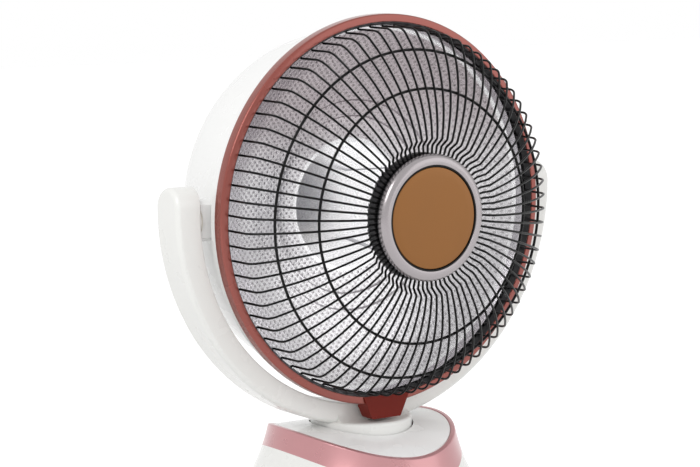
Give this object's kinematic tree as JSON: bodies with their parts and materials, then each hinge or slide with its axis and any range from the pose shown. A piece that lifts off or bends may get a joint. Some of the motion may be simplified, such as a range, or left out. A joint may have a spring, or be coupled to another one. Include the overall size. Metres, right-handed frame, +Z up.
{
  "type": "carbon heater",
  "caption": "Dish-shaped carbon heater: wire guard over a round reflector, tilting in a yoke on a turning round base with control knobs.",
  "frame": {"origin": "on the floor under the vertical axis that the head swings about", "axes": "+Z up, the dish faces -Y, X runs along the tilt pivots"},
  "size_m": [0.4258, 0.266, 0.498],
  "materials": {
    "white_shell": "satin",
    "white_plastic": "gloss",
    "rose_metal": "metallic gloss",
    "rose_band": "metallic gloss",
    "dark_red": "gloss",
    "reflector": "polished",
    "black_wire": "gloss",
    "black_plastic": "satin",
    "silver_bezel": "metallic",
    "bronze_disc": "brushed metallic",
    "steel": "satin",
    "ceramic": "unglazed ceramic",
    "quartz": "clear",
    "carbon": "woven carbon",
    "washer_fibre": "matt",
    "knob_white": "gloss",
    "grey_plastic": "matt",
    "rubber": "matt",
    "iron": "raw",
    "motor_can": "satin"
  },
  "bodies": {
    "base": {"base_body": "white_plastic", "base_band": "rose_band", "base_top_plate": "white_plastic", "base_floor": "grey_plastic", "floor_screws": "steel", "rubber_feet": "rubber", "ballast_ring": "iron", "swing_frame": "steel", "swing_motor": "motor_can", "motor_screws": "steel", "bearing_ring": "black_plastic", "timer_box": "black_plastic", "heat_switch": "black_plastic", "swing_switch": "black_plastic", "tip_switch": "black_plastic", "inlet_bushing": "grey_plastic"},
    "yoke": {"yoke": "white_plastic", "yoke_cover": "white_plastic", "yoke_cover_screws": "steel", "pivot_washers": "washer_fibre", "pivot_bolts": "steel", "turntable": "steel", "turntable_screws": "steel", "swing_shaft": "steel"},
    "head": {"rear_shell": "white_shell", "shell_rim": "white_shell", "reflector": "reflector", "trim_ring": "rose_metal", "ring_clip": "dark_red", "clip_screw": "steel", "guard_liner": "black_plastic", "guard_rim_wire": "black_wire", "guard_side_wires": "black_wire", "guard_dome_wires": "black_wire", "guard_outer_hoop": "black_wire", "guard_inner_hoop": "black_wire", "hub_drum": "black_plastic", "hub_shield": "steel", "hub_bezel": "silver_bezel", "hub_gasket": "black_plastic", "hub_disc": "bronze_disc", "hub_screws": "steel", "element_bracket": "steel", "ceramic_holders": "ceramic", "quartz_tubes": "quartz", "carbon_strips": "carbon", "thermal_cutout": "black_plastic", "terminal_block": "ceramic"},
    "timer_knob": {"timer_knob": "knob_white"},
    "heat_knob": {"heat_knob": "knob_white"},
    "swing_button": {"swing_button": "knob_white"},
    "tip_plunger": {"tip_plunger": "grey_plastic"}
  },
  "joints": [
    {"name": "swing", "type": "hinge", "parent": "base", "child": "yoke", "pos_m": [0, 0, 0.1], "axis": [0, 0, 1], "range_deg": [-40, 40]},
    {"name": "tilt", "type": "hinge", "parent": "yoke", "child": "head", "pos_m": [0, 0, 0.318], "axis": [-1, 0, 0], "range_deg": [0, 30]},
    {"name": "timer_turn", "type": "hinge", "parent": "base", "child": "timer_knob", "pos_m": [-0.04733, -0.10151, 0.05], "axis": [0.3749, 0.8039, -0.4617], "range_deg": [0, 300]},
    {"name": "heat_turn", "type": "hinge", "parent": "base", "child": "heat_knob", "pos_m": [0.04733, -0.10151, 0.05], "axis": [-0.3749, 0.8039, -0.4617], "range_deg": [0, 180]},
    {"name": "swing_press", "type": "slide", "parent": "base", "child": "swing_button", "axis": [0, 0.887, -0.4617], "range_m": [0, 0.002], "stiffness_N_per_m": 800, "springref_m": -0.001},
    {"name": "tip_plunge", "type": "slide", "parent": "base", "child": "tip_plunger", "axis": [0, 0, 1], "range_m": [0, 0.003], "stiffness_N_per_m": 300, "springref_m": -0.001}
  ]
}
